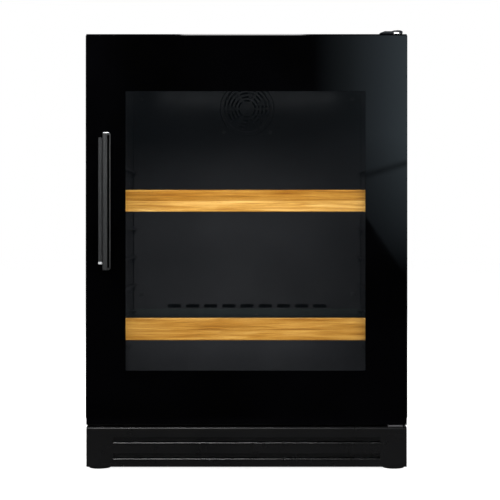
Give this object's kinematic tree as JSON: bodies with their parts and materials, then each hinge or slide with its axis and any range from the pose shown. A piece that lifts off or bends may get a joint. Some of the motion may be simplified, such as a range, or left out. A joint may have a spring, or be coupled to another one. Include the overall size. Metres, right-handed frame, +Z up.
{
  "type": "undercounter refrigerator",
  "caption": "Undercounter beverage refrigerator with a black-bordered glass door, side pull handle, oak-fronted glass shelves and a louvred kick plate.",
  "frame": {"origin": "on the floor plane, at the middle of the overall width and depth", "axes": "+Z up, +Y from the door to the rear, +X to the right as the user faces the door"},
  "size_m": [0.595, 0.61, 0.8137],
  "materials": {
    "cabinet_paint": "fine satin powder coat",
    "plinth_paint": "matte powder coat",
    "galvanised": "galvanised sheet",
    "liner_plastic": "semi-gloss moulded sheet",
    "foam": "rigid foam",
    "black_plastic": "fine-grained moulding",
    "gloss_black_plastic": "glossy moulding",
    "tinted_front_glass": "polished, black border on the back",
    "clear_glass": "polished float glass",
    "spacer_metal": "black anodised",
    "gasket_rubber": "soft matte",
    "handle_metal": "black anodised, brushed",
    "hinge_steel": "black coated steel",
    "bright_steel": "zinc plated",
    "bush_plastic": "natural bearing plastic",
    "oak": "clear matte lacquer",
    "copper": "drawn copper tube",
    "compressor_paint": "glossy black enamel",
    "fin_aluminium": "mill finish",
    "board": "solder mask",
    "lamp_plastic": "milky diffuser",
    "grommet_rubber": "matte",
    "drain_plastic": "grey moulding"
  },
  "bodies": {
    "cabinet": {"side_panel_left": "cabinet_paint", "side_panel_right": "cabinet_paint", "top_panel": "cabinet_paint", "rear_panel": "galvanised", "rear_grille": "galvanised", "base_chassis": "galvanised", "front_crossmember": "galvanised", "base_deck": "galvanised", "front_frame": "cabinet_paint", "inner_liner": "liner_plastic", "foam_insulation": "foam", "rear_spacers": "black_plastic", "cord_gland": "black_plastic", "kick_plate": "plinth_paint", "top_hinge_bracket": "hinge_steel", "top_hinge_cover": "gloss_black_plastic", "bottom_hinge_bracket": "hinge_steel", "hinge_pins": "bright_steel", "cabinet_screws": "hinge_steel", "shelf_glass_upper": "clear_glass", "shelf_glass_lower": "clear_glass", "shelf_front_upper": "oak", "shelf_front_lower": "oak", "evaporator_cover": "liner_plastic", "evaporator_fan_frame": "black_plastic", "evaporator_coil": "fin_aluminium", "suction_pipe": "copper", "discharge_pipe": "copper", "filter_drier": "copper", "drain_tube": "drain_plastic", "evaporation_tray": "black_plastic", "compressor": "compressor_paint", "compressor_grommets": "grommet_rubber", "relay_box": "black_plastic", "condenser_coil": "fin_aluminium", "condenser_fan_frame": "black_plastic", "control_housing": "gloss_black_plastic", "control_board": "board", "lamp_bar": "lamp_plastic"},
    "door": {"door_frame": "black_plastic", "door_cap_bottom": "black_plastic", "door_cap_top": "black_plastic", "hinge_bushes": "bush_plastic", "door_glass_front": "tinted_front_glass", "door_panes": "clear_glass", "glass_spacers": "spacer_metal", "door_gasket": "gasket_rubber", "handle_base": "handle_metal", "handle_grip": "handle_metal", "handle_screws": "bright_steel"},
    "evaporator_fan": {"evaporator_fan_rotor": "black_plastic"},
    "condenser_fan": {"condenser_fan_rotor": "black_plastic"},
    "button_power": {"button_power": "gloss_black_plastic"},
    "button_lamp": {"button_lamp": "gloss_black_plastic"},
    "button_down": {"button_down": "gloss_black_plastic"},
    "button_up": {"button_up": "gloss_black_plastic"},
    "foot_front_left": {"foot_front_left": "black_plastic"},
    "foot_front_right": {"foot_front_right": "black_plastic"},
    "foot_rear_left": {"foot_rear_left": "black_plastic"},
    "foot_rear_right": {"foot_rear_right": "black_plastic"}
  },
  "joints": [
    {"name": "door_hinge", "type": "hinge", "parent": "cabinet", "child": "door", "pos_m": [0.28, -0.25, 0.444], "axis": [0, 0, 1], "range_deg": [0, 115]},
    {"name": "evaporator_fan_spin", "type": "hinge", "parent": "cabinet", "child": "evaporator_fan", "pos_m": [0, 0.197, 0.708], "axis": [0, 1, 0], "continuous": true},
    {"name": "condenser_fan_spin", "type": "hinge", "parent": "cabinet", "child": "condenser_fan", "pos_m": [-0.12, 0.158, 0.104], "axis": [0, 1, 0], "continuous": true},
    {"name": "button_power_press", "type": "slide", "parent": "cabinet", "child": "button_power", "axis": [0, 0, 1], "range_m": [0, 0.0015], "stiffness_N_per_m": 900, "springref_m": -0.0006},
    {"name": "button_lamp_press", "type": "slide", "parent": "cabinet", "child": "button_lamp", "axis": [0, 0, 1], "range_m": [0, 0.0015], "stiffness_N_per_m": 900, "springref_m": -0.0006},
    {"name": "button_down_press", "type": "slide", "parent": "cabinet", "child": "button_down", "axis": [0, 0, 1], "range_m": [0, 0.0015], "stiffness_N_per_m": 900, "springref_m": -0.0006},
    {"name": "button_up_press", "type": "slide", "parent": "cabinet", "child": "button_up", "axis": [0, 0, 1], "range_m": [0, 0.0015], "stiffness_N_per_m": 900, "springref_m": -0.0006},
    {"name": "foot_front_left_adjust", "type": "slide", "parent": "cabinet", "child": "foot_front_left", "axis": [0, 0, -1], "range_m": [0, 0.02]},
    {"name": "foot_front_right_adjust", "type": "slide", "parent": "cabinet", "child": "foot_front_right", "axis": [0, 0, -1], "range_m": [0, 0.02]},
    {"name": "foot_rear_left_adjust", "type": "slide", "parent": "cabinet", "child": "foot_rear_left", "axis": [0, 0, -1], "range_m": [0, 0.02]},
    {"name": "foot_rear_right_adjust", "type": "slide", "parent": "cabinet", "child": "foot_rear_right", "axis": [0, 0, -1], "range_m": [0, 0.02]}
  ]
}
